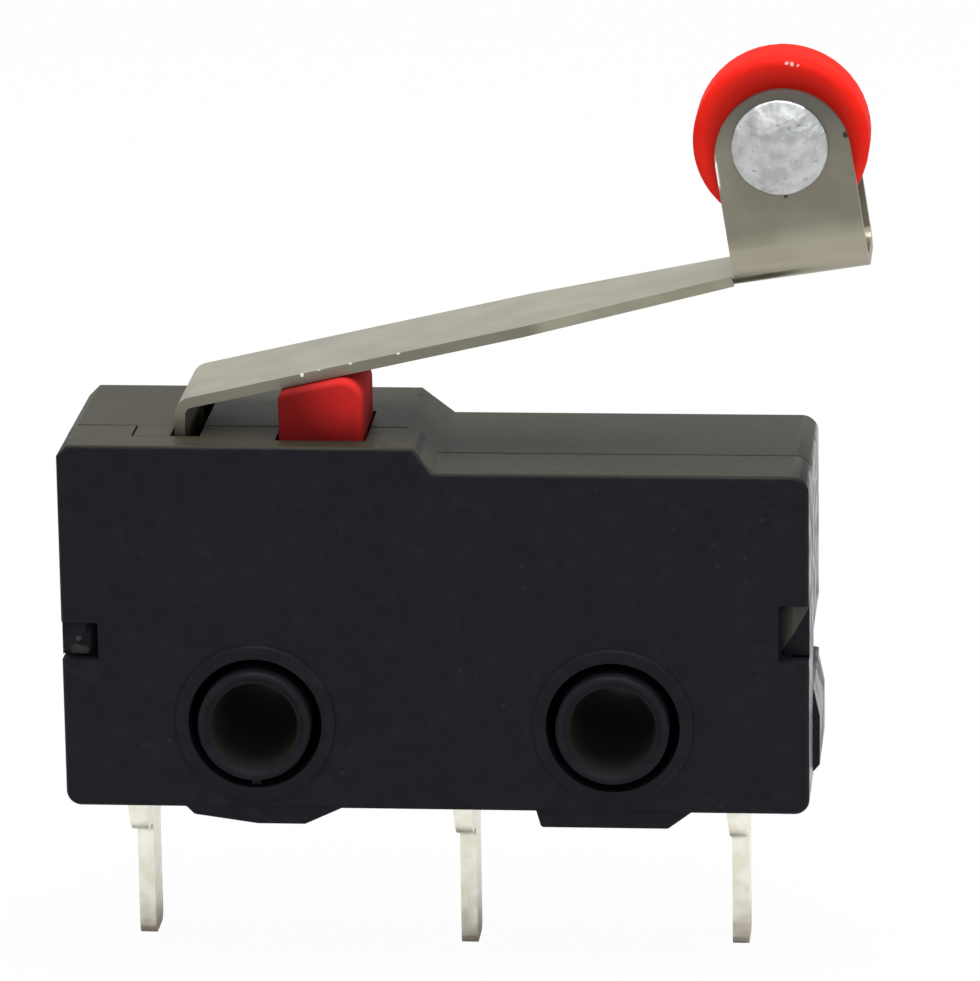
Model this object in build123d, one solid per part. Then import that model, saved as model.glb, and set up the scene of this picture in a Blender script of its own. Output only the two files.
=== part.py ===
from build123d import *
import math
import os

# Subminiature lever switch: a moulded case and cover, a plunger, a hinged lever with a
# roller, three straight pins and the snap mechanism between them.
# Millimetres. +X runs along the housing towards the roller, +Z is up, the cover faces -Y.
# The origin is the middle of the two mounting holes, on the rear face.
# Depths are measured forwards from the rear face, so a depth of 1 is at Y = -1.

# Housing, along X
hole_pitch = 9.5
hole_to_left_end = 5.12
hole_to_right_end = 5.18
end_wall = 1.0
step_run = 0.56
case_step_run = 0.88
left_corner_chamfer = 0.3
right_corner_radius = 0.45
bottom_corner_radius = 0.4

# Housing, along Z
hole_to_bottom = 2.38
bottom_wall = 0.9
top_wall = 0.9
step_drop = 0.68
nc_headroom = 0.56

# Housing, front to back
body_depth = 6.4
cover_depth = 2.15
rear_wall = 0.75
cover_wall = 0.75
edge_break = 0.08
seam_break = 0.035

# Mounting holes and the tubes that line them
hole_diameter = 2.3
boss_diameter = 3.0
boss_stand_out = 0.4
mouth_chamfer = 0.2
tube_rib_width = 0.24
tube_rib_height = 0.2
cover_hole_diameter = 3.54
pad_diameter = 4.3
pad_height = 0.1

# Tabs below the holes; the feet are measured from each hole
tab_drop = 0.46
tab_radius = 0.1
left_tab_foot_left = 1.7
left_tab_foot_right = 1.26
left_tab_foot_rise = 0.24
left_tab_slope_left = 0.22
left_tab_slope_right = 0.99
right_tab_foot_left = 1.94
right_tab_foot_right = 1.43
right_tab_slope_left = 0.13
right_tab_slope_right = 0.62

# Snap hooks at both ends of the cover; the left one is lower and shorter
hook_height = 1.4
hook_z = 2.6
hook_width = 0.74
left_hook_height = 0.88
left_hook_z = 2.2
left_hook_width = 0.91
hook_corner_depth = 0.45
left_hook_corner_depth = 0.35
hook_ledge = 0.3
hook_nose_depth = 0.5
hook_recess = 0.25
hook_gap = 0.06

# Latch ribs on the end faces of the case
rib_stand_out = 0.17
rib_top = 0.35
rib_bottom = -2.0
rib_lead_in = 0.8
rib_run_out = 0.2
rib_end_gap = 0.45
relief_height = 1.55
relief_depth = 0.15

# Plunger
plunger_to_hole = 1.8
plunger_width = 2.22
plunger_depth = 2.9
plunger_gap = 0.08
plunger_corner = 0.55
plunger_left_corner = 0.18
plunger_lever_gap = 0.03
plunger_flange = 0.35
plunger_flange_height = 0.6
plunger_nose_width = 1.1
step_to_plunger = 1.38

# Lever
lever_sheet = 0.28
lever_width = 3.7
lever_angle = 12.7
hinge_to_plunger = 3.805
hinge_below_top = 0.41
lever_rise = 1.009
tail_angle = 88.0
tail_bend_radius = 0.2
lug_reach = 0.45
lug_height = 0.5
lug_gap = 0.04
slot_length = 0.785
slot_end_gap = 0.26
slot_back_gap = 0.08
tongue_width = 0.965
taper_start = 9.6
strip_length = 15.256
neck_inset = 0.25

# Clevis at the end of the lever, and the roller between its ears
clevis_angle = 8.8
roller_rise = 3.42
roller_diameter = 4.62
roller_width = 1.85
roller_edge_radius = 0.28
roller_side_gap = 0.22
ear_start = 0.05
ear_radius = 1.78
ear_past_rivet = 0.04
ear_drop = 0.27
ear_bend_radius = 0.3
rivet_diameter = 1.5
rivet_head_diameter = 2.54
rivet_head_height = 0.36
rivet_rim_share = 0.35
running_gap = 0.05

# Terminals
terminal_sheet = 0.44
terminal_width = 3.5
run_width = 3.0
pin_width = 1.4
com_to_left_end = 1.74
no_from_middle = 0.63
nc_to_right_end = 1.96
com_pin_length = 4.48
no_pin_length = 4.63
nc_pin_length = 4.55
shoulder_length = 1.2
shoulder_radius = 0.35
tip_radius = 0.28
flare = 0.14
tube_gap = 0.45
bend_radius = 0.25
grip_rib = 0.55
grip_height = 1.1

# Moving blade, contacts and bow spring
blade_sheet = 0.12
blade_width = 2.4
blade_seat = 1.0
blade_gap = 0.02
contact_diameter = 1.6
contact_head = 0.35
contact_shank = 0.8
contact_chamfer = 0.08
contact_opening = 0.5
contact_to_nc = 1.77
arm_overhang = 0.9
no_joggle = 0.55
joggle_run = 0.7
bow_sheet = 0.1
bow_width = 1.0
bow_depth = 0.85
window_length = 3.2
window_past_middle_pin = 1.96
window_width = 1.4
fulcrum_to_hole = 3.55
fulcrum_height = 1.0

# Places along X that follow from the sizes above
left_hole_x = -hole_pitch / 2
right_hole_x = hole_pitch / 2
left_end = left_hole_x - hole_to_left_end
right_end = right_hole_x + hole_to_right_end
com_x = left_end + com_to_left_end
no_x = no_from_middle
nc_x = right_end - nc_to_right_end
contact_x = nc_x - contact_to_nc
plunger_x = left_hole_x + plunger_to_hole
plunger_left = plunger_x - plunger_width / 2
plunger_right = plunger_x + plunger_width / 2
step_x = plunger_right + step_to_plunger
hinge_x = plunger_x - hinge_to_plunger
fulcrum_x = left_hole_x + fulcrum_to_hole

# Heights, stacked from the tubes up to the tops of the housing
bottom = -hole_to_bottom
cavity_floor = bottom + bottom_wall
run_bottom = boss_diameter / 2 + tube_gap
run_middle = run_bottom + terminal_sheet / 2
no_arm_middle = run_middle + no_joggle
no_contact_top = no_arm_middle + terminal_sheet / 2 + contact_head
blade_bottom = no_contact_top + contact_opening + contact_head
blade_top = blade_bottom + blade_sheet
nc_arm_bottom = blade_top + contact_head + blade_gap + contact_head
nc_arm_middle = nc_arm_bottom + terminal_sheet / 2
lower_ceiling = nc_arm_bottom + terminal_sheet + nc_headroom
lower_top = lower_ceiling + top_wall
raised_top = lower_top + step_drop
raised_ceiling = raised_top - top_wall
hinge_z = raised_top - hinge_below_top

# Depths
seam = body_depth - cover_depth
cavity_front = body_depth - cover_wall
middle_depth = (rear_wall + cavity_front) / 2
boss_front = body_depth + boss_stand_out
plunger_front = cavity_front - plunger_gap
plunger_rear = plunger_front - plunger_depth


def prism(profile, rear, front):
    """Extrudes a profile drawn in X and Z between two depths."""
    return extrude(Plane.XZ.offset(rear) * profile, amount=front - rear)


def centred(profile, width):
    """Extrudes a profile drawn in X and Z to a width about the middle of the mechanism."""
    return prism(profile, middle_depth - width / 2, middle_depth + width / 2)


def block(x_low, x_high, z_low, z_high):
    """A rectangle in X and Z between two corners."""
    return Pos((x_low + x_high) / 2, (z_low + z_high) / 2) * Rectangle(x_high - x_low, z_high - z_low)


def polygon(*points):
    """A closed face through points in X and Z."""
    return make_face(Polyline(*points, close=True))


def disc(x, z, diameter):
    return Pos(x, z) * Circle(diameter / 2)


def corners_near(face, x, z):
    """The one corner of a face that lies nearest to a point."""
    return min(face.vertices(), key=lambda v: math.hypot(v.X - x, v.Y - z))


def bent_sheet(points, thickness, inner_radius):
    """The edge profile of a sheet bent along a path, with true bend radii."""
    centre_line = FilletPolyline(*points, radius=inner_radius + thickness / 2)
    return trace(centre_line, thickness)


def housing_outline(run):
    """The outline of the case or the cover without the tabs, with its own run of the step."""
    step_bottom_x = step_x + step_run
    face = polygon(
        (left_end, bottom),
        (right_end, bottom),
        (right_end, lower_top),
        (step_bottom_x, lower_top),
        (step_bottom_x - run, raised_top),
        (left_end, raised_top),
    )
    face = chamfer(corners_near(face, left_end, raised_top), left_corner_chamfer)
    face = fillet(corners_near(face, right_end, lower_top), right_corner_radius)
    for end in (left_end, right_end):
        face = fillet(corners_near(face, end, bottom), bottom_corner_radius)
    return face


def left_tab():
    """The tab under the left hole, whose bottom slopes up to the left."""
    low = bottom - tab_drop
    foot_left = left_hole_x - left_tab_foot_left
    foot_right = left_hole_x + left_tab_foot_right
    feet = [(foot_left, low + left_tab_foot_rise), (left_hole_x, low), (foot_right, low)]
    return tab(foot_left - left_tab_slope_left, feet, foot_right + left_tab_slope_right)


def right_tab():
    """The tab under the right hole, with a steep left side."""
    low = bottom - tab_drop
    foot_left = right_hole_x - right_tab_foot_left
    foot_right = right_hole_x + right_tab_foot_right
    feet = [(foot_left, low), (foot_right, low)]
    return tab(foot_left - right_tab_slope_left, feet, foot_right + right_tab_slope_right)


def tab(left, feet, right):
    """The outline of one shallow tab between its two ends, with rounded feet."""
    high = bottom + tab_drop
    face = polygon((left, high), (left, bottom), *feet, (right, bottom), (right, high))
    for foot in feet:
        face = fillet(corners_near(face, *foot), tab_radius)
    return face


def cavity_outline():
    """The room for the mechanism, the same in the case and the cover."""
    inner_step = step_x - step_run
    return polygon(
        (left_end + end_wall, cavity_floor),
        (right_end - end_wall, cavity_floor),
        (right_end - end_wall, lower_ceiling),
        (inner_step, lower_ceiling),
        (inner_step, raised_ceiling),
        (left_end + end_wall, raised_ceiling),
    )


def shell(rear, front, rear_break, front_break, run):
    """A slice of the solid housing with broken edges on its two flat faces."""
    body = prism(housing_outline(run), rear, front)
    outer = body.faces().sort_by(Axis.Y)
    body = chamfer(outer[-1].edges(), rear_break)
    outer = body.faces().sort_by(Axis.Y)
    body = chamfer(outer[0].edges(), front_break)
    for outline in (left_tab(), right_tab()):
        body += prism(outline, rear + rear_break, front - front_break)
    return body


def terminal_slots(rear, front):
    """The slots in the floor of the housing that grip the three terminals."""
    cuts = Part()
    for x in (com_x, no_x, nc_x):
        half = terminal_sheet / 2
        cuts += prism(block(x - half, x + half, bottom - tab_drop, cavity_floor), rear, front)
    return cuts


def plunger_channel():
    """The opening in the roof that guides the plunger."""
    opening = block(
        plunger_left - plunger_gap,
        plunger_right + plunger_gap,
        raised_ceiling - top_wall / 2,
        raised_top + top_wall,
    )
    return prism(opening, plunger_rear - plunger_gap, cavity_front)


def hinge_sockets():
    """The round sockets that the lever's lugs turn in, at both ends of the slot."""
    radius = math.hypot(lever_sheet / 2, lug_height / 2) + lug_gap
    return centred(disc(hinge_x, hinge_z, 2 * radius), lever_width + 2 * (lug_reach + lug_gap))


def tail_slot():
    """The slot in the roof that the lever's tail passes through."""
    left = slot_left()
    opening = block(left, left + slot_length, raised_ceiling - top_wall / 2, raised_top + top_wall)
    return centred(opening, lever_width + 2 * slot_end_gap)


def slot_left():
    """The left wall of the tail slot, just behind the tail."""
    half_tail = lever_sheet / 2 / math.sin(math.radians(tail_angle))
    return hinge_x - half_tail - slot_back_gap


def slot_front():
    """The depth of the front end of the tail slot."""
    return middle_depth + lever_width / 2 + slot_end_gap


def roof_tongue(gap):
    """The tongue of the case that reaches into the cover beside the tail slot."""
    left = slot_left() - tongue_width - gap
    return prism(block(left, slot_left(), raised_ceiling, raised_top), seam, slot_front())


def end_sign(end):
    """+1 pointing into the housing from its left end, -1 from its right end."""
    return 1 if end < 0 else -1


def hook_sizes(end):
    """Width, height and middle height of one snap hook, and how deep its corner is cut."""
    if end < 0:
        return left_hook_width, left_hook_height, left_hook_z, left_hook_corner_depth
    return hook_width, hook_height, hook_z, hook_corner_depth


def hook(end):
    """One snap hook: a stem along the end face and a nose that catches the cover."""
    width, height, middle, _ = hook_sizes(end)
    inward = end_sign(end)
    stem_x = end + inward * (width - hook_ledge)
    nose_x = end + inward * width
    nose_front = body_depth - hook_recess
    nose_rear = body_depth - hook_nose_depth
    plan = make_face(
        Polyline(
            (end, -seam + edge_break),
            (stem_x, -seam + edge_break),
            (stem_x, -nose_rear),
            (nose_x, -nose_rear),
            (stem_x, -nose_front),
            (end, -nose_front),
            close=True,
        )
    )
    whole = extrude(Plane.XY.offset(middle - height / 2) * plan, amount=height)
    return whole - hook_corner(end)


def hook_corner(end):
    """The part below the rising diagonal that is cut off the front of one hook."""
    width, height, middle, depth = hook_sizes(end)
    left = min(end, end + end_sign(end) * width) - width
    right = left + 3 * width
    low = middle - 1.5 * height
    high = middle + 1.5 * height
    return prism(polygon((left, low), (right, low), (right, high)), body_depth - depth, body_depth)


def hook_window(end):
    """The notch in the cover that one hook passes through and catches on."""
    width, height, middle, _ = hook_sizes(end)
    inward = end_sign(end)
    stem_x = end + inward * (width - hook_ledge + hook_gap)
    nose_x = end + inward * (width + hook_gap)
    ledge = body_depth - hook_nose_depth
    outside = end - inward * width
    low = middle - height / 2 - hook_gap
    high = middle + height / 2 + hook_gap
    stem_cut = block(min(outside, stem_x), max(outside, stem_x), low, high)
    nose_cut = block(min(outside, nose_x), max(outside, nose_x), low, high)
    return prism(stem_cut, seam - edge_break, ledge) + prism(nose_cut, ledge, body_depth + pad_height)


def end_rib(end):
    """The wedge-shaped latch rib on one end face of the case."""
    outward = -end_sign(end)
    crest = end + outward * rib_stand_out
    root = end - outward * rib_stand_out
    face = polygon(
        (root, rib_top),
        (end, rib_top),
        (crest, rib_top - rib_lead_in),
        (crest, rib_bottom + rib_run_out),
        (end, rib_bottom),
        (root, rib_bottom),
    )
    return prism(face, rib_end_gap, seam - rib_end_gap)


def end_relief(end):
    """The shallow relief above one latch rib."""
    inner = end + end_sign(end) * relief_depth
    outer = end - end_sign(end) * relief_depth
    face = block(min(inner, outer), max(inner, outer), rib_top, rib_top + relief_height)
    return prism(face, -edge_break, seam - rib_end_gap)


def grip_ribs():
    """Ribs that stand on the floor of the case and hold the terminals upright."""
    half = terminal_sheet / 2
    ribs = Part()
    for x, side in ((com_x, 1), (no_x, 1), (no_x, -1), (nc_x, -1)):
        near = x + side * half
        far = near + side * grip_rib
        face = block(min(near, far), max(near, far), cavity_floor, cavity_floor + grip_height)
        ribs += prism(face, rear_wall, seam)
    return ribs


def tube_rib():
    """The small keying rib below the left tube, which nearly bridges the gap to the cover."""
    half = tube_rib_width / 2
    low = -boss_diameter / 2 - tube_rib_height
    inside_wall = -(boss_diameter + hole_diameter) / 4
    face = block(left_hole_x - half, left_hole_x + half, low, inside_wall)
    return prism(face, cavity_front, body_depth)


def make_case():
    body = shell(0, seam, edge_break, seam_break, case_step_run)
    body -= prism(cavity_outline(), rear_wall, seam)
    body += grip_ribs()
    for x in (left_hole_x, right_hole_x):
        tube = prism(disc(x, 0, boss_diameter), rear_wall, boss_front)
        body += chamfer(tube.edges().sort_by(Axis.Y)[0], edge_break)
        body -= prism(disc(x, 0, hole_diameter), 0, boss_front)
        mouth = Plane.XZ.offset(boss_front - mouth_chamfer)
        wide = hole_diameter / 2 + mouth_chamfer
        flared = Cone(hole_diameter / 2, wide, mouth_chamfer, align=(Align.CENTER, Align.CENTER, Align.MIN))
        body -= mouth * Pos(x, 0) * flared
    body += tube_rib()
    terminal_rear = middle_depth - terminal_width / 2
    body -= terminal_slots(terminal_rear, seam)
    body += roof_tongue(0)
    body -= plunger_channel()
    body -= tail_slot()
    body -= hinge_sockets()
    for end in (left_end, right_end):
        body += hook(end)
        body += end_rib(end)
        body -= end_relief(end)
    return body


def make_cover():
    body = shell(seam, body_depth, seam_break, edge_break, step_run)
    for x in (left_hole_x, right_hole_x):
        pad = prism(disc(x, 0, pad_diameter), cavity_front, body_depth + pad_height)
        body += chamfer(pad.edges().sort_by(Axis.Y)[0], pad_height / 2)
    body -= prism(cavity_outline(), seam, cavity_front)
    for x in (left_hole_x, right_hole_x):
        body -= prism(disc(x, 0, cover_hole_diameter), seam, boss_front)
    terminal_front = middle_depth + terminal_width / 2
    body -= terminal_slots(seam, terminal_front)
    body -= roof_tongue(hook_gap)
    body -= plunger_channel()
    body -= tail_slot()
    body -= hinge_sockets()
    for end in (left_end, right_end):
        body -= hook_window(end)
    return body


def upright_plane(x, z, angle):
    """An upright plane through a point: X leads off at an angle to the housing, Y up from it."""
    turn = math.radians(angle)
    return Plane(origin=(x, 0, z), x_dir=(math.cos(turn), 0, math.sin(turn)), z_dir=(0, -1, 0))


def sheet_between(plane, profile, width):
    """Extrudes a profile drawn in an upright plane to a width about the middle of the mechanism."""
    return extrude(plane.offset(middle_depth - width / 2) * profile, amount=width)


def lever_plane():
    """The lever's own plane: X along the strip from the hinge, Y up from it."""
    return upright_plane(hinge_x, hinge_z, lever_angle)


def clevis_plane():
    """The clevis's plane: X along its floor from the fold, Y up from the middle of the sheet."""
    base = lever_plane()
    fold = base.origin + base.x_dir * strip_length + base.y_dir * (lever_rise + lever_sheet / 2)
    return upright_plane(fold.X, fold.Z, clevis_angle)


def fold_plane():
    """The cut between the strip and the clevis, halfway between their two angles."""
    turn = math.radians((lever_angle + clevis_angle) / 2)
    return Plane(origin=clevis_plane().origin, x_dir=(0, 1, 0), z_dir=(math.cos(turn), 0, math.sin(turn)))


def underside_height(x):
    """Height of the lever's underside above a place on the housing."""
    angle = math.radians(lever_angle)
    return hinge_z + lever_rise / math.cos(angle) + (x - hinge_x) * math.tan(angle)


def ear_span():
    """Outer width over the lever's two ears."""
    return roller_width + 2 * roller_side_gap + 2 * lever_sheet


def rivet_reach():
    """Distance of the roller's axis from the fold, along the floor of the clevis."""
    return ear_start + ear_radius - ear_past_rivet


def tail_profile():
    """The bent tail and the straight strip, seen from the side."""
    lean = math.radians(tail_angle - lever_angle)
    middle = lever_rise + lever_sheet / 2
    foot = lug_height / 2
    path = (
        (-foot * math.cos(lean), -foot * math.sin(lean)),
        (middle / math.tan(lean), middle),
        (strip_length + lever_sheet, middle),
    )
    return bent_sheet(path, lever_sheet, tail_bend_radius)


def strip_plan():
    """The strip seen square to its face: full width, then tapered to a neck at the ears."""
    full = lever_width / 2
    narrow = ear_span() / 2 - neck_inset
    start = -lever_width
    end = strip_length + lever_width
    return polygon(
        (start, -full),
        (taper_start, -full),
        (strip_length, -narrow),
        (end, -narrow),
        (end, narrow),
        (strip_length, narrow),
        (taper_start, full),
        (start, full),
    )


def clevis_section():
    """The clevis cut across: a floor and two upright ears with bent corners."""
    half = ear_span() / 2
    low = -lever_sheet / 2
    high = roller_rise - ear_drop + ear_radius
    section = block(-half, half, low, high)
    for side in (-half, half):
        section = fillet(corners_near(section, side, low), ear_bend_radius + lever_sheet)
    hollow_half = half - lever_sheet
    hollow = block(-hollow_half, hollow_half, -low, high)
    for side in (-hollow_half, hollow_half):
        hollow = fillet(corners_near(hollow, side, -low), ear_bend_radius)
    return section - hollow


def clevis():
    """The folded end: a floor and two rounded ears, bent up from one sheet."""
    base = clevis_plane()
    start = base.origin - base.x_dir * lever_sheet
    across = Plane(origin=start, x_dir=(0, 1, 0), z_dir=base.x_dir)
    end = ear_start + 2 * ear_radius
    channel = extrude(across * Pos(-middle_depth, 0) * clevis_section(), amount=lever_sheet + end)
    low = -lever_sheet / 2
    ear_middle = roller_rise - ear_drop
    side_view = block(-lever_sheet, ear_start, low, -low)
    side_view += block(ear_start, end, low, ear_middle)
    side_view += disc(ear_start + ear_radius, ear_middle, 2 * ear_radius)
    return channel & sheet_between(base, side_view, ear_span())


def make_lever():
    base = lever_plane()
    strip = sheet_between(base, tail_profile(), lever_width)
    from_above = Plane(origin=base.origin, x_dir=base.x_dir, z_dir=base.y_dir)
    reach = hinge_to_plunger + lever_rise
    strip &= extrude(from_above.offset(-reach) * Pos(0, -middle_depth) * strip_plan(), amount=2 * reach)
    lever = split(strip, bisect_by=fold_plane(), keep=Keep.BOTTOM)
    lever += split(clevis(), bisect_by=fold_plane(), keep=Keep.TOP)
    lug = Rot(0, 0, tail_angle - lever_angle) * Rectangle(lug_height, lever_sheet)
    lever += sheet_between(base, lug, lever_width + 2 * lug_reach)
    hole = disc(rivet_reach(), roller_rise, rivet_diameter)
    return lever - sheet_between(clevis_plane(), hole, ear_span() + 2 * lever_sheet)


def roller_axis():
    """The roller's axis as a plane at the middle of the mechanism, Z pointing forwards."""
    base = clevis_plane()
    centre = base.origin + base.x_dir * rivet_reach() + base.y_dir * roller_rise
    return Plane(origin=centre + base.z_dir * middle_depth, x_dir=base.x_dir, z_dir=base.z_dir)


def make_roller():
    wheel = Cylinder(roller_diameter / 2, roller_width)
    rims = wheel.edges().filter_by(GeomType.CIRCLE)
    wheel = fillet(rims, roller_edge_radius)
    wheel -= Cylinder(rivet_diameter / 2 + running_gap, roller_width)
    return roller_axis() * wheel


def rivet_head():
    """One domed head: a short straight rim on its ear, then a cap of a sphere."""
    half = ear_span() / 2
    head = rivet_head_diameter / 2
    rim = half + rivet_head_height * rivet_rim_share
    crown = half + rivet_head_height
    rise = crown - rim
    radius = (head**2 + rise**2) / (2 * rise)
    quarter = math.asin(head / radius) / 2
    on_cap = (radius * math.sin(quarter), crown - radius + radius * math.cos(quarter))
    sides = Polyline((0, crown), (0, half), (head, half), (head, rim))
    cap = ThreePointArc((head, rim), on_cap, (0, crown))
    return revolve(make_face(Plane.XZ * (sides + cap)), Axis.Z)


def make_rivet():
    head = rivet_head()
    shank = Cylinder(rivet_diameter / 2, ear_span())
    return roller_axis() * (shank + head + mirror(head, Plane.XY))


def make_plunger():
    gap = plunger_lever_gap / math.cos(math.radians(lever_angle))
    slope_left = underside_height(plunger_left) - gap
    slope_right = underside_height(plunger_right) - gap
    flange_top = raised_ceiling - plunger_gap
    flange_bottom = flange_top - plunger_flange_height
    nose_bottom = blade_top + blade_gap
    nose_half = plunger_nose_width / 2
    outline = polygon(
        (plunger_left, slope_left),
        (plunger_left, flange_top),
        (plunger_left - plunger_flange, flange_top),
        (plunger_left - plunger_flange, flange_bottom),
        (plunger_x - nose_half, flange_bottom),
        (plunger_x - nose_half, nose_bottom),
        (plunger_x + nose_half, nose_bottom),
        (plunger_x + nose_half, flange_bottom),
        (plunger_right + plunger_flange, flange_bottom),
        (plunger_right + plunger_flange, flange_top),
        (plunger_right, flange_top),
        (plunger_right, slope_right),
    )
    outline = fillet(corners_near(outline, plunger_right, slope_right), plunger_corner)
    outline = fillet(corners_near(outline, plunger_left, slope_left), plunger_left_corner)
    for side in (-nose_half, nose_half):
        outline = fillet(corners_near(outline, plunger_x + side, nose_bottom), nose_half / 2)
    return prism(outline, plunger_rear, plunger_front)


def pin_front(length):
    """A terminal seen from the side: its plate, its shoulders and its narrow pin."""
    half = terminal_width / 2
    pin_half = pin_width / 2
    low = bottom - shoulder_length
    tip = bottom - length
    face = polygon(
        (-half, run_middle),
        (-half, low),
        (-pin_half, low),
        (-pin_half, tip),
        (pin_half, tip),
        (pin_half, low),
        (half, low),
        (half, run_middle),
    )
    for side in (-1, 1):
        face = fillet(corners_near(face, side * pin_half, low), shoulder_radius)
        face = fillet(corners_near(face, side * half, low), shoulder_radius)
        face = fillet(corners_near(face, side * pin_half, tip), tip_radius)
    return face


def flare_outline(x, length):
    """A terminal's edge below the floor: the sheet, with its thicker root on the left."""
    half = terminal_sheet / 2
    low = bottom - shoulder_length
    tip = bottom - length
    face = polygon(
        (x - half, run_middle),
        (x - half, bottom),
        (x - half - flare, bottom),
        (x - half, low),
        (x - half, tip),
        (x + half, tip),
        (x + half, run_middle),
    )
    return face


def stem(x, length):
    """A terminal from its bend down to its pin tip."""
    side_plane = Plane(origin=(x, 0, 0), x_dir=(0, -1, 0), z_dir=(-1, 0, 0))
    reach = terminal_sheet + flare
    across = side_plane.offset(-reach) * Pos(middle_depth, 0) * pin_front(length)
    return centred(flare_outline(x, length), terminal_width) & extrude(across, amount=2 * reach)


def make_com_terminal():
    """The common terminal: pin, run over the left tube, fulcrum and two blade seats."""
    path = (
        (com_x, cavity_floor),
        (com_x, run_middle),
        (fulcrum_x, run_middle),
        (fulcrum_x, run_middle + fulcrum_height),
    )
    body = centred(bent_sheet(path, terminal_sheet, bend_radius), run_width)
    stem_cut = centred(block(left_end, com_x + terminal_width, cavity_floor, raised_top), body_depth)
    body += stem(com_x, com_pin_length) - stem_cut
    seat = block(com_x - terminal_sheet / 2, com_x + blade_seat, run_middle, blade_bottom - blade_gap)
    for side in (-1, 1):
        edge = middle_depth + side * run_width / 2
        inner = edge - side * terminal_sheet
        body += prism(seat, min(edge, inner), max(edge, inner))
    return body


def make_no_terminal():
    """The normally open terminal: its arm steps up to the lower contact."""
    joggle_x = contact_x - contact_diameter / 2 - joggle_run
    path = (
        (no_x, cavity_floor),
        (no_x, run_middle),
        (joggle_x - joggle_run, run_middle),
        (joggle_x, no_arm_middle),
        (contact_x + arm_overhang, no_arm_middle),
    )
    body = centred(bent_sheet(path, terminal_sheet, bend_radius), run_width)
    stem_cut = centred(block(no_x - terminal_width, right_end, cavity_floor, raised_top), body_depth)
    body += stem(no_x, no_pin_length) - stem_cut
    shank = Cylinder(contact_shank / 2, terminal_sheet)
    return body - Pos(contact_x, -middle_depth, no_arm_middle) * shank


def make_nc_terminal():
    """The normally closed terminal: its arm turns back over the moving contact."""
    path = (
        (nc_x, cavity_floor),
        (nc_x, nc_arm_middle),
        (contact_x - arm_overhang, nc_arm_middle),
    )
    body = centred(bent_sheet(path, terminal_sheet, bend_radius), run_width)
    stem_cut = centred(block(no_x, right_end, cavity_floor, raised_top), body_depth)
    body += stem(nc_x, nc_pin_length) - stem_cut
    shank = Cylinder(contact_shank / 2, terminal_sheet)
    return body - Pos(contact_x, -middle_depth, nc_arm_middle) * shank


def contact_head_solid(face_z, back_z):
    """One contact head between its working face and the sheet that carries it."""
    head = Cylinder(contact_diameter / 2, contact_head)
    working = head.edges().filter_by(GeomType.CIRCLE).sort_by(Axis.Z)
    edge = working[-1] if face_z > back_z else working[0]
    head = chamfer(edge, contact_chamfer)
    return Pos(contact_x, -middle_depth, (face_z + back_z) / 2) * head


def make_no_contact():
    back = no_arm_middle + terminal_sheet / 2
    shank = Cylinder(contact_shank / 2, terminal_sheet)
    shank = Pos(contact_x, -middle_depth, no_arm_middle) * shank
    return contact_head_solid(no_contact_top, back) + shank


def make_nc_contact():
    shank = Cylinder(contact_shank / 2, terminal_sheet)
    shank = Pos(contact_x, -middle_depth, nc_arm_middle) * shank
    return contact_head_solid(nc_arm_bottom - contact_head, nc_arm_bottom) + shank


def make_moving_contact():
    shank = Cylinder(contact_shank / 2, blade_sheet)
    shank = Pos(contact_x, -middle_depth, blade_bottom + blade_sheet / 2) * shank
    upper = contact_head_solid(blade_top + contact_head, blade_top)
    lower = contact_head_solid(blade_bottom - contact_head, blade_bottom)
    return upper + shank + lower


def window_right():
    """The right edge of the blade's window, where the bow spring hooks in."""
    return no_x + window_past_middle_pin


def make_moving_blade():
    """The flat spring: hooked on the common terminal, with a window for the bow spring."""
    lip_x = com_x - terminal_sheet / 2 - blade_gap - blade_sheet / 2
    tip = contact_x + arm_overhang
    middle = blade_bottom + blade_sheet / 2
    path = ((lip_x, blade_bottom - blade_seat / 2), (lip_x, middle), (tip, middle))
    body = centred(bent_sheet(path, blade_sheet, blade_sheet / 2), run_width)
    seat_end = com_x + blade_seat
    trim = (run_width - blade_width) / 2
    for side in (-1, 1):
        edge = middle_depth + side * run_width / 2
        inner = edge - side * trim
        strip = block(seat_end, tip + trim, blade_bottom - blade_seat, blade_top + blade_seat)
        body -= prism(strip, min(edge, inner), max(edge, inner))
    right = window_right()
    window = block(right - window_length, right, blade_bottom - blade_seat, blade_top + blade_seat)
    body -= centred(window, window_width)
    return body - Pos(contact_x, -middle_depth, middle) * Cylinder(contact_shank / 2, blade_sheet)


def make_bow_spring():
    """The small curved spring between the fulcrum and the blade's window."""
    start = (fulcrum_x + terminal_sheet / 2 + bow_sheet, run_middle + fulcrum_height - bow_sheet)
    finish = (window_right() - bow_sheet, blade_bottom + blade_sheet / 2)
    run = finish[0] - start[0]
    rise = finish[1] - start[1]
    chord = math.hypot(run, rise)
    sag_x = (start[0] + finish[0]) / 2 + bow_depth * rise / chord
    sag_z = (start[1] + finish[1]) / 2 - bow_depth * run / chord
    arc = ThreePointArc(start, (sag_x, sag_z), finish)
    return centred(trace(arc, bow_sheet), bow_width)


makers = {
    "case": make_case,
    "cover": make_cover,
    "plunger": make_plunger,
    "lever": make_lever,
    "roller": make_roller,
    "roller_rivet": make_rivet,
    "com_terminal": make_com_terminal,
    "no_terminal": make_no_terminal,
    "nc_terminal": make_nc_terminal,
    "no_contact": make_no_contact,
    "nc_contact": make_nc_contact,
    "moving_contact": make_moving_contact,
    "moving_blade": make_moving_blade,
    "bow_spring": make_bow_spring,
}

os.makedirs("parts", exist_ok=True)
for name, make in makers.items():
    solid = make()
    export_step(solid, f"parts/{name}.step")
    size = solid.bounding_box().size
    print(f"{name}: {len(solid.solids())} solid, {size.X:.2f} x {size.Y:.2f} x {size.Z:.2f} mm")
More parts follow.
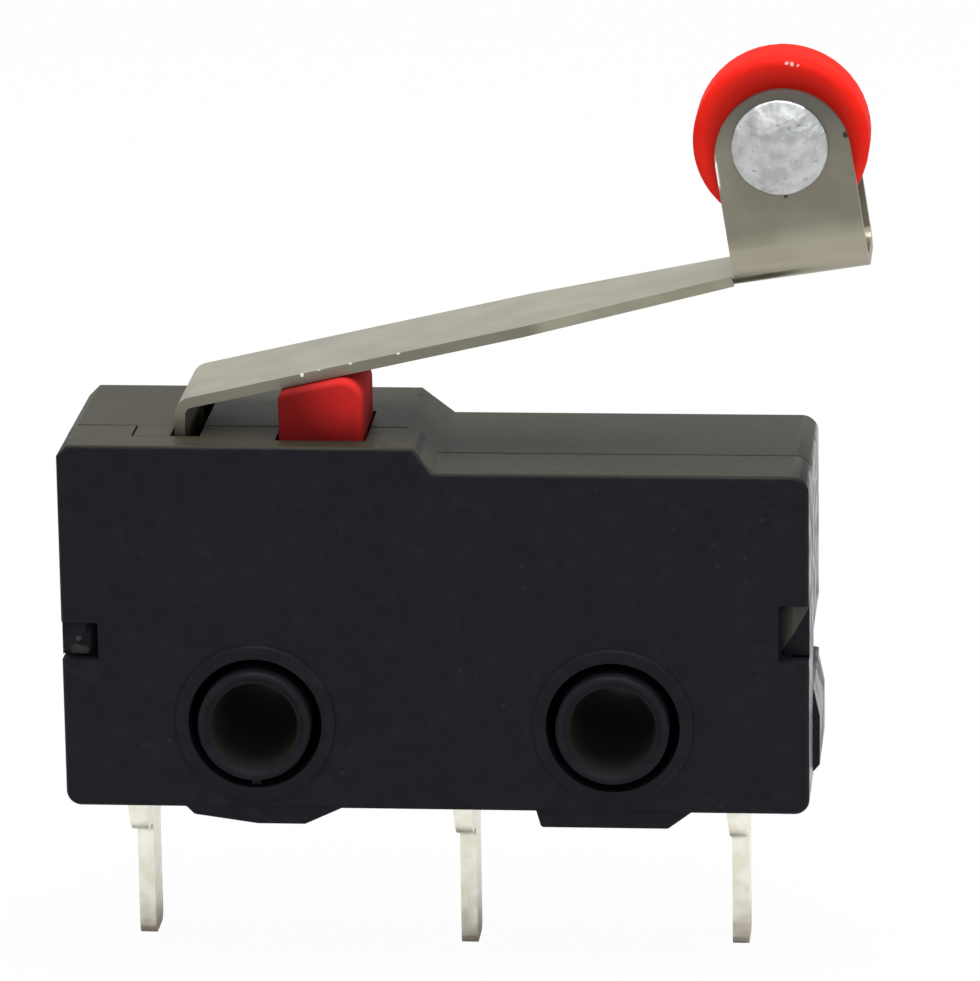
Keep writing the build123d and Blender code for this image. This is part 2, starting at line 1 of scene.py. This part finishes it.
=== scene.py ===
import math

import bpy
from mathutils import Matrix, Vector


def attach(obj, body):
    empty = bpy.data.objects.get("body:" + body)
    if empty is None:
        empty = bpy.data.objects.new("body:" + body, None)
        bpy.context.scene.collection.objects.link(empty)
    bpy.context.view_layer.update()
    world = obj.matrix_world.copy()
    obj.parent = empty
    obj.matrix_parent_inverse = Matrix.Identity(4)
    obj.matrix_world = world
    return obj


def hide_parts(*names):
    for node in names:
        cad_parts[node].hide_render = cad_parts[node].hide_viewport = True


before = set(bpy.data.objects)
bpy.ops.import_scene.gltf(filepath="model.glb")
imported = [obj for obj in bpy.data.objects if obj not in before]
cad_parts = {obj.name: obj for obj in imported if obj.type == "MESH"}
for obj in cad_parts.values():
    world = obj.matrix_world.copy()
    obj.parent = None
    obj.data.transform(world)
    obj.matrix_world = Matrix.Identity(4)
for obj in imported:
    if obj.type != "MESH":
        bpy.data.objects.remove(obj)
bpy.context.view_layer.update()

# Lever switch, dressed over its CAD frame. Metres, +X towards the roller, +Z up, the
# cover faces -Y. Sizes below are in millimetres and pass through mm() where they are used.

# Camera, fitted to the photograph
camera_place = (17.27, -178.02, 54.47)
camera_yaw = 5.22
camera_pitch = 15.57
camera_roll = -0.87
focal_pixels = 6836.0
frame_pixels = 980.0
sensor_width = 36.0
camera_near = 10.0

# Floor and lamps
floor_z = -7.03
floor_size = 4000.0
floor_colour = (0.80, 0.80, 0.79, 1)
floor_cloud = 0.985
camera_white = 0.97
sky_on_matt = 0.30
sky_in_gloss = 1.0

# Lamps: place, point looked at, width and height, watts
top_lamp = ((20, 0, 200), (0, 0, 0), (200, 200), 0.55)
front_lamp = ((40, -190, 120), (0, 0, 0), (120, 100), 0.05)

# Small marks seen in the photograph: the middle of each and its radius
lever_nicks = (
    ((-3.45, -5.05, 9.18), 0.07),
    ((-3.03, -5.05, 9.37), 0.09),
    ((-2.18, -5.05, 9.54), 0.08),
    ((-0.90, -5.05, 9.80), 0.06),
)
ear_stains = (
    ((10.84, -4.62, 15.62), 0.10),
    ((9.28, -4.62, 13.99), 0.07),
)
# Painted highlights on the ears
ear_glints = (
    ((11.34, -1.80, 12.72), 0.11),
    ((9.45, -4.62, 16.98), 0.07),
    ((9.73, -4.62, 16.93), 0.08),
    ((9.95, -4.62, 16.86), 0.06),
)
# One rubbed nick by the roller, then painted highlights along its front rim
roller_nick_and_highlights = (
    ((7.76, -4.10, 17.61), 0.07),
    ((9.28, -4.10, 17.40), 0.05),
    ((9.42, -4.10, 17.37), 0.07),
    ((9.58, -4.10, 17.34), 0.05),
)
# Painted highlights on the plunger's upper right corner and its right edge
plunger_glints = (
    ((-1.98, -5.70, 9.15), 0.10),
    ((-1.96, -5.70, 8.85), 0.09),
    ((-1.73, -5.70, 8.36), 0.07),
    ((-1.74, -5.70, 7.93), 0.08),
)
top_stains = (
    ((-1.15, -0.26, 7.56), 0.13),
    ((-0.78, -0.78, 7.56), 0.16),
    ((-0.44, -1.19, 7.56), 0.10),
)
# Painted highlights on the left snap hook's nose, seen along Y
hook_glints = (
    ((-9.53, 0, 1.87), 0.20),
    ((-9.32, 0, 1.84), 0.17),
    ((-9.44, 0, 2.20), 0.10),
)

# Housing: the places that its finish goes by
raised_top = 7.56
step_drop = 0.68
step_start = -0.46
step_end = 0.1
right_end = 9.93
cover_face = -6.4
# Depths of the painted top light, paler and browner than the black, on the cover and the case
cover_top_light_depth = 0.07
case_top_light_depth = 1.0
hooks_behind = -5.0
hook_left, hook_low, hook_high, hook_slope = 9.19, 1.95, 3.5, 1.75

# Mounting bores: axes to both sides of the middle, and the taper of the dressed ones
bore_axis = 4.75
bore_radius = 1.15
bore_margin = 0.03
bore_taper = 0.80
taper_reach = 0.6

# Lever, ear and roller: the places that their finishes go by
lever_angle = -12.7
lever_edge_from, lever_edge_full = -4.98, -5.03
rivet_axis = (9.12, -4.625, 15.28)
axis_height = 15.2
ear_radius = 1.78
ear_left_from, ear_left_full = 8.5, 8.1
ear_side, ear_side_lean = 9.479, 0.14
ear_side_from, ear_side_full = 13.9, 14.2
ear_dark_from, ear_dark_full = 14.9, 16.6
ear_foot = 11.6
ear_face_from, ear_face_full = -4.3, -4.5
clevis_tilt = 0.155
bend_high = 11.32
rim_from, rim_full = 0.11, 0.05
tread_axis = (9.12, 0, 15.28)
tread_radius = 2.31
tip_worn_from, tip_worn_full = -4.9, -6.5

# Painted shade on the reds: a point, the distance where the darkening starts, the one where it is full
# and the share of the colour left there
plunger_shade = ((-1.9, 0, 9.0), 0.3, 1.9, 0.30)
roller_shade = (tread_axis, 2.10, 1.75, 0.72)

# Roughness of the finishes before their clouds and grain, and what the tread adds to it
black_rough = 0.41
plunger_rough = 0.78
roller_rough = 0.36
tread_rough = 0.32
steel_rough = 0.30
rivet_rough = 0.34
plating_rough = 0.30
hidden_rough = 0.25

# Specular level of the plastics
black_specular = 0.10
plunger_specular = 0.12
roller_specular = 0.14

# Depth of the relief that the finishes add
black_relief = 0.012
red_relief = 0.004
steel_relief = 0.006
rivet_relief = 0.10
plating_relief = 0.012

# Widths of the rounded edges
housing_edge = 0.028
plunger_edge = 0.12
sheet_edge = 0.04
roller_edge = 0.04
pin_edge = 0.05
rivet_edge = 0.19

# Colours: red, green, blue and alpha
black_deep = (0.0066, 0.0068, 0.0112, 1)
black_cool = (0.0106, 0.0106, 0.0156, 1)
black_mottle = (0.0145, 0.0145, 0.0190, 1)
black_fleck = (0.042, 0.041, 0.042, 1)
black_dust = (0.060, 0.058, 0.054, 1)
black_scuff = (0.024, 0.023, 0.024, 1)
bore_brown = (0.020, 0.018, 0.016, 1)
# Painted highlight on the snap hooks' noses
hook_highlight_brown = (0.085, 0.080, 0.068, 1)
# Painted light on the housing's top
top_light_brown = (0.034, 0.031, 0.019, 1)
stain = (0.010, 0.009, 0.008, 1)
crumb = (0.55, 0.55, 0.53, 1)
plunger_red = (0.68, 0.026, 0.024, 1)
plunger_deep = (0.60, 0.021, 0.019, 1)
roller_red = (0.94, 0.018, 0.007, 1)
roller_deep = (0.87, 0.014, 0.005, 1)
# Pale red for rubbed nicks and painted highlights
red_nick_and_highlight = (0.85, 0.62, 0.56, 1)
steel_dark = (0.275, 0.262, 0.200, 1)
steel_pale = (0.330, 0.317, 0.250, 1)
steel_pit = (0.13, 0.12, 0.09, 1)
# Painted shade on the lever's front edge
steel_edge_shade = (0.13, 0.122, 0.105, 1)
# Painted shade on the ear, darker towards its top and above its bend
steel_ear_shade = (0.11, 0.106, 0.09, 1)
# Painted highlight along the bend at the ear's foot
steel_bend_highlight = (0.40, 0.37, 0.30, 1)
# Painted highlight on the near ear's rim
steel_rim_highlight = (0.95, 0.95, 0.92, 1)
steel_stain = (0.05, 0.045, 0.035, 1)
# Pale nicks on the lever's edge and painted glints on the ears
steel_nick_and_glint = (0.95, 0.94, 0.90, 1)
rivet_dark = (0.40, 0.41, 0.415, 1)
rivet_pale = (0.56, 0.57, 0.57, 1)
rivet_pit = (0.20, 0.20, 0.19, 1)
plating_dark = (0.84, 0.81, 0.68, 1)
plating_pale = (0.97, 0.96, 0.88, 1)
plating_worn = (0.46, 0.36, 0.30, 1)
spring_dark = (0.62, 0.38, 0.2, 1)
spring_pale = (0.7, 0.46, 0.27, 1)
silver_pale = (0.8, 0.8, 0.8, 1)
silver_dark = (0.68, 0.68, 0.68, 1)

# Finishing of the moulded and the stamped pieces
merge_distance = 0.0002
flat_angle = math.radians(0.4)
smooth_angle = math.radians(32)
sharp_angle = math.radians(38)


def mm(value):
    """Millimetres to metres, for a number or a place."""
    if isinstance(value, (int, float)):
        return value / 1000
    return Vector(value) / 1000


# Shader maths

class Field:
    """A value that varies over a surface; expressions on it add their Math nodes."""

    def __init__(self, finish, socket):
        self.finish = finish
        self.socket = socket

    def math(self, operation, first, second):
        return self.finish.node("ShaderNodeMath", {"operation": operation}, {0: first, 1: second})

    def __add__(self, other):
        return self.math("ADD", self, other)

    def __sub__(self, other):
        return self.math("SUBTRACT", self, other)

    def __rsub__(self, other):
        return self.math("SUBTRACT", other, self)

    def __mul__(self, other):
        return self.math("MULTIPLY", self, other)

    __radd__ = __add__
    __rmul__ = __mul__


class Finish:
    """One material, written node by node on a Principled shader."""

    def __init__(self, name, **constants):
        self.material = bpy.data.materials.new(name)
        self.material.use_nodes = True
        self.tree = self.material.node_tree
        self.shader = self.tree.nodes["Principled BSDF"]
        for socket, value in constants.items():
            self.shader.inputs[socket.replace("_", " ")].default_value = value
        coordinates = self.node("ShaderNodeTexCoord", output="Object")
        self.place = self.node(
            "ShaderNodeVectorMath", {"operation": "SCALE"}, {"Vector": coordinates, "Scale": 1000.0}
        )

    def node(self, kind, settings=None, sockets=None, output=0):
        """Adds any node: its settings first, then the values or links of its sockets."""
        made = self.tree.nodes.new(kind)
        for name, value in (settings or {}).items():
            setattr(made, name, value)
        for name, value in (sockets or {}).items():
            if isinstance(value, Field):
                self.tree.links.new(value.socket, made.inputs[name])
            else:
                made.inputs[name].default_value = value
        return Field(self, made.outputs[output])

    def stretched(self, scale, turn=(0, 0, 0)):
        """The place on the piece in millimetres, turned and stretched for a grain."""
        return self.node(
            "ShaderNodeMapping",
            {"vector_type": "TEXTURE"},
            {"Vector": self.place, "Rotation": turn, "Scale": scale},
        )

    def noise(self, size, detail=3.0, place=None, roughness=0.5):
        """Soft noise whose blobs are about `size` millimetres across, from 0 to 1."""
        sockets = {"Vector": place or self.place, "Scale": 1 / size}
        sockets.update({"Detail": detail, "Roughness": roughness})
        return self.node("ShaderNodeTexNoise", {}, sockets)

    def specks(self, size):
        """Distance to the nearest of many scattered points about `size` millimetres apart."""
        sockets = {"Vector": self.place, "Scale": 1 / size}
        return self.node("ShaderNodeTexVoronoi", {}, sockets, "Distance")

    def step(self, value, low, high):
        """0 below `low`, 1 above `high`, smooth between them; the other way round if low is higher."""
        settings = {"interpolation_type": "SMOOTHSTEP"}
        sockets = {"Value": value, "From Min": low, "From Max": high}
        return self.node("ShaderNodeMapRange", settings, sockets)

    def mix(self, factor, first, second):
        """One colour fading into another."""
        settings = {"data_type": "RGBA", "clamp_factor": True}
        return self.node("ShaderNodeMix", settings, {0: factor, 6: first, 7: second}, 2)

    def layers(self, colour, *coats):
        """A colour with thin coats over it, each a share and the coat's own colour."""
        for share, coat in coats:
            colour = self.mix(share, colour, coat)
        return colour

    def split(self, axis):
        """One coordinate of the place on the piece, in millimetres."""
        return self.node("ShaderNodeSeparateXYZ", {}, {0: self.place}, axis)

    def away(self, point, place=None):
        """Distance to one point, in millimetres."""
        sockets = {0: place or self.place, 1: point}
        return self.node("ShaderNodeVectorMath", {"operation": "DISTANCE"}, sockets, 1)

    def bore(self, along):
        """1 inside the bore through the housing whose axis stands at `along`, 0 outside."""
        distance = self.away((along, 0, 0), self.flat())
        return self.step(distance, bore_radius + 0.10, bore_radius + 0.04)

    def flat(self):
        """The place on the piece seen along Y: its X and Z alone."""
        return self.node("ShaderNodeVectorMath", {"operation": "MULTIPLY"}, {0: self.place, 1: (1, 0, 1)})

    def marks(self, spots, place=None):
        """1 inside any of a few small round marks, each a place and a radius in millimetres."""
        reach = 0.04
        ragged = self.noise(0.12, 2) * (2 * reach)
        shares = []
        for point, radius in spots:
            distance = self.away(point, place) + ragged
            shares.append(self.step(distance, radius + reach, 0.6 * radius + reach))
        return sum(shares[1:], shares[0])

    def bump(self, height, depth):
        """A normal pushed by a height field, `depth` millimetres deep."""
        sockets = {"Height": height, "Distance": mm(depth), "Strength": 1.0}
        return self.node("ShaderNodeBump", {}, sockets)

    def feed(self, **values):
        """Links values to the shader's own sockets and returns the material."""
        for socket, value in values.items():
            self.tree.links.new(value.socket, self.shader.inputs[socket.replace("_", " ")])
        return self.material


def grey(level):
    return (level, level, level, 1.0)


def above_top(f):
    """Height over the housing's top, which steps down along it: 0 on the top, negative below."""
    level = raised_top - f.step(f.split("X"), step_start, step_end) * step_drop
    return f.split("Z") - level


def painted_hook_highlights(f):
    """Painted highlights on the snap hooks' noses: lit spots on the left one, a lit wedge on the right
    one.
    """
    along, height = f.split("X"), f.split("Z")
    wedge = f.step(height - hook_low - (along - hook_left) * hook_slope, 0.0, 0.06)
    wedge = wedge * f.step(along, hook_left - 0.2, hook_left - 0.15)
    wedge = wedge * f.step(height, hook_high, hook_high - 0.1)
    front = f.step(f.split("Y"), hooks_behind, hooks_behind - 0.3)
    return (f.marks(hook_glints, f.flat()) + wedge) * front


def black_moulding(name, painted_top_depth, hooks_shown):
    """Black thermoset: a fine grain, mottling, dust, scuffs, painted hook highlights and a browner
    painted top light.

    `hooks_shown` is 1 on the case, which has the snap hooks, and 0 on the cover.
    """
    f = Finish(name, Specular_IOR_Level=black_specular)
    cloud = f.noise(3.2, 4)
    grain = f.noise(0.11, 3)
    dust = f.step(f.specks(0.55), 0.16, 0.04) * f.step(f.noise(2.4, 2), 0.45, 0.65)
    scuff = f.step(f.noise(0.5, 5, f.stretched((6, 6, 1), (0.3, 0.5, 0.2))), 0.62, 0.72)
    mottle = f.step(f.noise(0.42, 6, roughness=0.65), 0.40, 0.66)
    flecks = f.step(f.noise(0.10, 2), 0.68, 0.74) * f.step(cloud, 0.40, 0.60)
    above = above_top(f)
    # Where the painted top light lies: the top faces, as if lit from above
    top = f.step(above, -painted_top_depth, 0.05 - painted_top_depth)
    bores = f.bore(-bore_axis) + f.bore(bore_axis)
    end = f.step(f.split("X"), right_end - 0.10, right_end - 0.04)
    rim = f.step(f.split("Y"), cover_face + 0.14, cover_face + 0.04) * f.step(above, -0.16, -0.08)
    crumbs = f.step(f.specks(0.7), 0.13, 0.06) * rim
    colour = f.layers(
        f.mix(cloud, black_deep, black_cool),
        (mottle * 0.6, black_mottle),
        (flecks * 0.35, black_fleck),
        (dust * 0.25, black_dust),
        (scuff * 0.3, black_scuff),
        (bores, bore_brown),
        # painted highlights on the snap hooks
        (painted_hook_highlights(f) * hooks_shown * 0.8, hook_highlight_brown),
        # painted top light
        (top * 0.9, top_light_brown),
        (f.marks(top_stains) * top, stain),
        (crumbs, crumb),
    )
    rubbed = end * (0.12 + f.step(f.noise(0.9, 3), 0.38, 0.58) * 0.18)
    rough = black_rough + cloud * 0.08 + grain * 0.10 - rubbed - top * 0.04 + bores * 0.5
    relief = f.bump(grain + scuff * 0.3, black_relief)
    return f.feed(Base_Color=colour, Roughness=rough, Normal=relief)


def red_moulding(f, base, deep, nicks_and_highlights, shade, roughness):
    """Red plastic: a little cloudiness, a fine grain, painted shade, painted highlights and a rubbed
    nick.

    `shade` says how the painted shade darkens it with the distance from a point seen along Y: the
    point, the distance where that starts, the one where it is full and the share of colour left there.
    """
    point, start, full, left = shade
    cloud = f.noise(0.9, 4)
    grain = f.noise(0.09, 3)
    darker = tuple(left * part for part in base[:3]) + (1,)
    colour = f.layers(
        f.mix(f.step(cloud, 0.3, 0.7), base, deep),
        # painted shade
        (f.step(f.away(point, f.flat()), start, full), darker),
        # painted highlights, and on the roller one rubbed nick
        (f.marks(nicks_and_highlights), red_nick_and_highlight),
    )
    rough = roughness + cloud * 0.08
    return f.feed(Base_Color=colour, Roughness=rough, Normal=f.bump(grain, red_relief))


def plunger_moulding():
    """Satin red, darker away from the corner that the lever lets the light reach."""
    f = Finish("red_plunger", Specular_IOR_Level=plunger_specular)
    return red_moulding(f, plunger_red, plunger_deep, plunger_glints, plunger_shade, plunger_rough)


def roller_moulding():
    """Glossier red with painted shade towards the rivet, and rougher on the tread."""
    f = Finish("red_roller", Specular_IOR_Level=roller_specular)
    tread = f.step(f.away(tread_axis, f.flat()), tread_radius - 0.14, tread_radius - 0.06)
    rough = roller_rough + tread * tread_rough
    return red_moulding(f, roller_red, roller_deep, roller_nick_and_highlights, roller_shade, rough)


def ear_rim_highlight(f, along, height):
    """The painted highlight on the near ear's rim: the left of its round head and the edge below that."""
    head = f.step(f.away(rivet_axis), ear_radius - rim_from, ear_radius - rim_full)
    head = head * f.step(along, ear_left_from, ear_left_full)
    head = head * f.step(height, axis_height - 0.1, axis_height + 0.1)
    side = f.step(along + height * ear_side_lean - ear_side, rim_from, rim_full)
    side = side * f.step(height, axis_height + 0.1, axis_height - 0.1)
    side = side * f.step(height, ear_side_from, ear_side_full)
    return (head + side) * f.step(f.noise(0.3, 3), 0.35, 0.6)


def rolled_steel():
    """Nickel-plated strip: a grain along the sheet, blotches, pits, nicks, and painted shade and
    highlights.
    """
    f = Finish("rolled_steel", Metallic=1.0)
    grain = f.noise(0.05, 3, f.stretched((14, 1, 14), (0, math.radians(lever_angle), 0)))
    blotch = f.noise(1.3, 5)
    pits = f.step(f.specks(0.42), 0.13, 0.03) * f.step(f.noise(1.1, 2), 0.45, 0.6)
    along, across, height = f.split("X"), f.split("Y"), f.split("Z")
    lean = height - along * clevis_tilt
    clevis = f.step(height, ear_foot, ear_foot + 0.3)
    # painted highlight: a pale band along the bend at the ear's foot
    bend_highlight = f.step(lean, bend_high + 0.08, bend_high - 0.12)
    bend_highlight = bend_highlight * f.step(across, ear_face_from, ear_face_full) * clevis
    # painted shade: the ear darker towards its top and above its bend
    painted_ear_shade = f.step(height, ear_dark_from, ear_dark_full) * 0.5
    painted_ear_shade = painted_ear_shade + f.step(lean, bend_high, bend_high + 0.5) * clevis * 0.4
    colour = f.layers(
        f.mix(f.step(blotch, 0.32, 0.68), steel_dark, steel_pale),
        (pits * 0.5, steel_pit),
        # painted shade on the lever's front edge
        (f.step(across, lever_edge_from, lever_edge_full) * 0.55, steel_edge_shade),
        # painted shade on the ear
        (painted_ear_shade, steel_ear_shade),
        # painted highlight on the bend
        (bend_highlight * 0.6, steel_bend_highlight),
        # painted highlight on the ear's rim
        (ear_rim_highlight(f, along, height), steel_rim_highlight),
        (f.marks(ear_stains), steel_stain),
        # pale nicks, and painted glints on the ears
        (f.marks(lever_nicks + ear_glints), steel_nick_and_glint),
    )
    rough = steel_rough + f.step(blotch, 0.3, 0.7) * 0.10 + grain * 0.10
    return f.feed(Base_Color=colour, Roughness=rough, Normal=f.bump(grain - pits, steel_relief))


def peened_steel():
    """The rivet's upset heads: paler steel with hammer dimples and pits."""
    f = Finish("peened_steel", Metallic=1.0)
    dimples = f.noise(0.55, 2)
    blotch = f.noise(0.5, 5)
    pits = f.step(f.noise(0.16, 3), 0.62, 0.70)
    colour = f.layers(f.mix(f.step(blotch, 0.35, 0.65), rivet_dark, rivet_pale), (pits * 0.4, rivet_pit))
    rough = rivet_rough + blotch * 0.16
    relief = f.bump(dimples - pits * 0.1, rivet_relief)
    return f.feed(Base_Color=colour, Roughness=rough, Normal=relief)


def plated_brass():
    """The terminals: pale plating, worn pinkish towards the pin tips."""
    f = Finish("plated_brass", Metallic=1.0)
    blotch = f.noise(0.45, 5)
    streaks = f.noise(0.05, 3, f.stretched((1, 1, 10)))
    worn = f.step(f.split("Z") + blotch * 1.4, tip_worn_from, tip_worn_full)
    colour = f.layers(
        f.mix(f.step(blotch, 0.3, 0.7), plating_dark, plating_pale), (worn * 0.6, plating_worn)
    )
    rough = plating_rough + blotch * 0.16 + streaks * 0.06
    relief = f.bump(streaks + blotch, plating_relief)
    return f.feed(Base_Color=colour, Roughness=rough, Normal=relief)


def hidden_metal(name, base, worn):
    """The spring strip and the contacts inside the housing."""
    f = Finish(name, Metallic=1.0)
    blotch = f.noise(0.6, 4)
    colour = f.mix(f.step(blotch, 0.35, 0.65), base, worn)
    return f.feed(Base_Color=colour, Roughness=hidden_rough + blotch * 0.2)


# Pieces

def select_only(piece):
    """Deselects everything and makes one piece the active one."""
    bpy.ops.object.select_all(action="DESELECT")
    piece.select_set(True)
    bpy.context.view_layer.objects.active = piece


def clean_copy(node, name):
    """A copy of a CAD node whose loose triangles are merged back into whole faces."""
    piece = bpy.data.objects.new(name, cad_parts[node].data.copy())
    bpy.context.scene.collection.objects.link(piece)
    select_only(piece)
    bpy.ops.mesh.customdata_custom_splitnormals_clear()
    bpy.ops.object.mode_set(mode="EDIT")
    bpy.ops.mesh.select_all(action="SELECT")
    bpy.ops.mesh.remove_doubles(threshold=mm(merge_distance))
    bpy.ops.mesh.dissolve_limited(angle_limit=flat_angle)
    bpy.ops.object.mode_set(mode="OBJECT")
    return piece


def soften_edges(piece, width, segments=2):
    """Breaks the sharp edges of a piece and shades it smooth between the others."""
    select_only(piece)
    bevel = piece.modifiers.new("edges", "BEVEL")
    bevel.width = mm(width)
    bevel.segments = segments
    bevel.limit_method = "ANGLE"
    bevel.angle_limit = sharp_angle
    bpy.ops.object.modifier_apply(modifier=bevel.name)
    bpy.ops.object.shade_smooth_by_angle(angle=smooth_angle)
    flatten = piece.modifiers.new("flat_faces", "WEIGHTED_NORMAL")
    flatten.keep_sharp = True
    bpy.ops.object.modifier_apply(modifier=flatten.name)


def dress(piece, material, body, node):
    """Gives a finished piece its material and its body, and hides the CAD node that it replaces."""
    piece.data.materials.clear()
    piece.data.materials.append(material)
    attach(piece, body)
    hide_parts(node)


def paint(nodes, material):
    """Puts a better material on CAD nodes that keep their own shape."""
    for node in nodes:
        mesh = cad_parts[node].data
        mesh.materials.clear()
        mesh.materials.append(material)


def taper_bores(piece):
    """Narrows the rear ends of the two bores to `bore_taper` of their width.

    The camera then sees no floor through them. The solids keep their straight bores.
    """
    for axis in (-bore_axis, bore_axis):
        select_only(piece)
        for vertex in piece.data.vertices:
            x, y, z = vertex.co * 1000
            vertex.select = y > -taper_reach and math.hypot(x - axis, z) < bore_radius + bore_margin
        for part in list(piece.data.edges) + list(piece.data.polygons):
            part.select = False
        bpy.ops.object.mode_set(mode="EDIT")
        bpy.ops.mesh.select_mode(type="VERT")
        bpy.ops.transform.resize(value=(bore_taper, 1, bore_taper), center_override=mm((axis, 0, 0)))
        bpy.ops.mesh.select_all(action="DESELECT")
        bpy.ops.object.mode_set(mode="OBJECT")


def make_case():
    """The case's painted top light also runs down its rear face, which the camera doesn't see."""
    piece = clean_copy("case", "case_moulding")
    taper_bores(piece)
    soften_edges(piece, housing_edge)
    dress(piece, black_moulding("black_case", case_top_light_depth, 1.0), "base", "case")


def make_cover():
    """The cover's painted top light is thin, because its front face shows below it."""
    piece = clean_copy("cover", "cover_moulding")
    soften_edges(piece, housing_edge)
    dress(piece, black_moulding("black_cover", cover_top_light_depth, 0.0), "base", "cover")


def make_plunger():
    piece = clean_copy("plunger", "plunger_moulding")
    soften_edges(piece, plunger_edge, segments=3)
    dress(piece, plunger_moulding(), "push_pin", "plunger")


def make_lever():
    piece = clean_copy("lever", "lever_strip")
    soften_edges(piece, sheet_edge)
    dress(piece, rolled_steel(), "lever_arm", "lever")


def make_rivet():
    piece = clean_copy("roller_rivet", "rivet_heads")
    soften_edges(piece, rivet_edge, segments=5)
    dress(piece, peened_steel(), "lever_arm", "roller_rivet")


def make_roller():
    piece = clean_copy("roller", "roller_wheel_moulding")
    soften_edges(piece, roller_edge)
    dress(piece, roller_moulding(), "roller_wheel", "roller")


def make_terminals():
    plating = plated_brass()
    for node in ("com_terminal", "no_terminal", "nc_terminal"):
        piece = clean_copy(node, node + "_sheet")
        soften_edges(piece, pin_edge)
        dress(piece, plating, "base", node)


def paint_inside():
    """The blade, the bow spring and the contacts keep the shapes of their solids."""
    paint(("moving_blade", "bow_spring"), hidden_metal("spring_strip", spring_dark, spring_pale))
    contacts = ("no_contact", "nc_contact", "moving_contact")
    paint(contacts, hidden_metal("contact_silver", silver_pale, silver_dark))


# Stage

def make_floor():
    """A pale floor that takes the shadow and looks nearly white to the camera."""
    bpy.ops.object.select_all(action="DESELECT")
    bpy.ops.mesh.primitive_plane_add(size=mm(floor_size), location=(0, 0, mm(floor_z)))
    floor = bpy.context.object
    floor.name = "floor"
    f = Finish("floor", Roughness=0.9, Specular_IOR_Level=0.1)
    darker = tuple(floor_cloud * part for part in floor_colour[:3]) + (1,)
    f.feed(Base_Color=f.mix(f.noise(60, 2), floor_colour, darker))
    white = f.node("ShaderNodeEmission", {}, {"Color": grey(1.0), "Strength": 1.0})
    share = f.node("ShaderNodeLightPath", output="Is Camera Ray") * camera_white
    shaded = Field(f, f.shader.outputs[0])
    mixed = f.node("ShaderNodeMixShader", {}, {0: share, 1: shaded, 2: white})
    output = f.tree.nodes["Material Output"]
    f.tree.links.new(mixed.socket, output.inputs["Surface"])
    floor.data.materials.append(f.material)


def make_lamp(name, place, aim, size, power):
    """A square soft lamp that looks at a point; places and sizes in millimetres."""
    data = bpy.data.lights.new(name, "AREA")
    data.shape = "RECTANGLE"
    data.size, data.size_y = mm(size[0]), mm(size[1])
    data.energy = power
    lamp = bpy.data.objects.new(name, data)
    bpy.context.scene.collection.objects.link(lamp)
    lamp.location = mm(place)
    lamp.rotation_euler = (mm(aim) - mm(place)).to_track_quat("-Z", "Y").to_euler()


def make_light():
    """A soft even sky, paler in mirrors than on matt surfaces, and two soft lamps."""
    world = bpy.data.worlds.new("studio")
    world.use_nodes = True
    tree = world.node_tree
    rays = tree.nodes.new("ShaderNodeLightPath")
    shown = tree.nodes.new("ShaderNodeMix")
    shown.data_type = "RGBA"
    shown.inputs[6].default_value = grey(sky_on_matt)
    shown.inputs[7].default_value = grey(sky_in_gloss)
    tree.links.new(rays.outputs["Is Glossy Ray"], shown.inputs[0])
    tree.links.new(shown.outputs[2], tree.nodes["Background"].inputs["Color"])
    bpy.context.scene.world = world
    make_lamp("top_lamp", *top_lamp)
    make_lamp("front_lamp", *front_lamp)


def make_camera():
    yaw, pitch, roll = (math.radians(a) for a in (camera_yaw, camera_pitch, camera_roll))
    ahead = Vector((
        -math.sin(yaw) * math.cos(pitch),
        math.cos(yaw) * math.cos(pitch),
        -math.sin(pitch),
    ))
    right = Vector((math.cos(yaw), math.sin(yaw), 0))
    up = right.cross(ahead)
    turned_right = right * math.cos(roll) + up * math.sin(roll)
    turned_up = up * math.cos(roll) - right * math.sin(roll)
    data = bpy.data.cameras.new("camera")
    data.sensor_fit = "HORIZONTAL"
    data.sensor_width = sensor_width
    data.lens = focal_pixels / frame_pixels * sensor_width
    data.clip_start = mm(camera_near)
    data.clip_end = mm(2 * floor_size)
    camera = bpy.data.objects.new("camera", data)
    bpy.context.scene.collection.objects.link(camera)
    axes = Matrix((turned_right, turned_up, -ahead)).transposed()
    camera.matrix_world = Matrix.Translation(mm(camera_place)) @ axes.to_4x4()
    bpy.context.scene.camera = camera


make_case()
make_cover()
make_plunger()
make_lever()
make_rivet()
make_roller()
make_terminals()
paint_inside()
make_floor()
make_light()
make_camera()
bpy.context.scene.view_settings.view_transform = "Standard"
